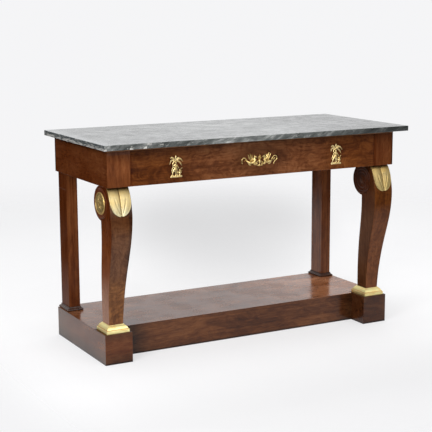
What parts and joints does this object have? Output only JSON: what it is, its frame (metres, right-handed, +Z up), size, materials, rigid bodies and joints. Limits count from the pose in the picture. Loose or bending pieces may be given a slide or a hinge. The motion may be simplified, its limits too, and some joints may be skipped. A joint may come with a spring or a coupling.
{
  "type": "pier table",
  "caption": "Empire pier table: veined marble slab on a mahogany frame with scrolled front legs, square rear posts, a frieze drawer, gilt mounts and a plinth shelf.",
  "frame": {"origin": "on the floor under the centre of the marble slab", "axes": "+X along the table, -Y to the front (drawer side), +Z up"},
  "size_m": [1.437, 0.65, 0.9],
  "materials": {
    "marble": "polished",
    "mahogany": "french polish",
    "oak_lining": "waxed",
    "pine_carcass": "bare",
    "gilt_bronze": "fire gilt",
    "brass_pins": "satin"
  },
  "bodies": {
    "frame": {"marble_top": "marble", "corner_block_left": "mahogany", "corner_block_right": "mahogany", "side_panel_left": "mahogany", "side_panel_right": "mahogany", "front_leg_left": "mahogany", "front_leg_right": "mahogany", "outer_roundel_left": "mahogany", "outer_roundel_right": "mahogany", "inner_roundel_left": "mahogany", "inner_roundel_right": "mahogany", "rear_post_left": "mahogany", "rear_post_right": "mahogany", "post_base_moulding_left": "mahogany", "post_base_moulding_right": "mahogany", "plinth_block_left": "mahogany", "plinth_block_right": "mahogany", "plinth_side_board_left": "mahogany", "plinth_side_board_right": "mahogany", "front_top_rail": "mahogany", "plinth_top_board": "mahogany", "plinth_front_board": "mahogany", "back_rail": "pine_carcass", "plinth_back_board": "pine_carcass", "centre_kicker": "pine_carcass", "drawer_bearer_rail": "pine_carcass", "drawer_stops": "pine_carcass", "plinth_glue_blocks": "pine_carcass", "leg_tenon_pegs": "pine_carcass", "drawer_runner_left": "pine_carcass", "drawer_runner_right": "pine_carcass", "drawer_guide_left": "pine_carcass", "drawer_guide_right": "pine_carcass", "drawer_kicker_left": "pine_carcass", "drawer_kicker_right": "pine_carcass", "plinth_crossbar_left": "pine_carcass", "plinth_crossbar_right": "pine_carcass", "post_foot_block_left": "pine_carcass", "post_foot_block_right": "pine_carcass", "leg_leaf_left": "gilt_bronze", "leg_leaf_right": "gilt_bronze", "leg_collar_left": "gilt_bronze", "leg_collar_right": "gilt_bronze", "rosette_left": "gilt_bronze", "rosette_right": "gilt_bronze", "leaf_pins": "brass_pins"},
    "drawer": {"drawer_front": "mahogany", "drawer_back": "oak_lining", "drawer_muntin": "oak_lining", "griffin_mount": "gilt_bronze", "frieze_mount_pins": "brass_pins", "drawer_side_left": "oak_lining", "drawer_side_right": "oak_lining", "drawer_bottom_left": "oak_lining", "drawer_bottom_right": "oak_lining", "palm_mount_left": "gilt_bronze", "palm_mount_right": "gilt_bronze"}
  },
  "joints": [
    {"name": "drawer_slide", "type": "slide", "parent": "frame", "child": "drawer", "axis": [0, -1, 0], "range_m": [0, 0.35]}
  ]
}
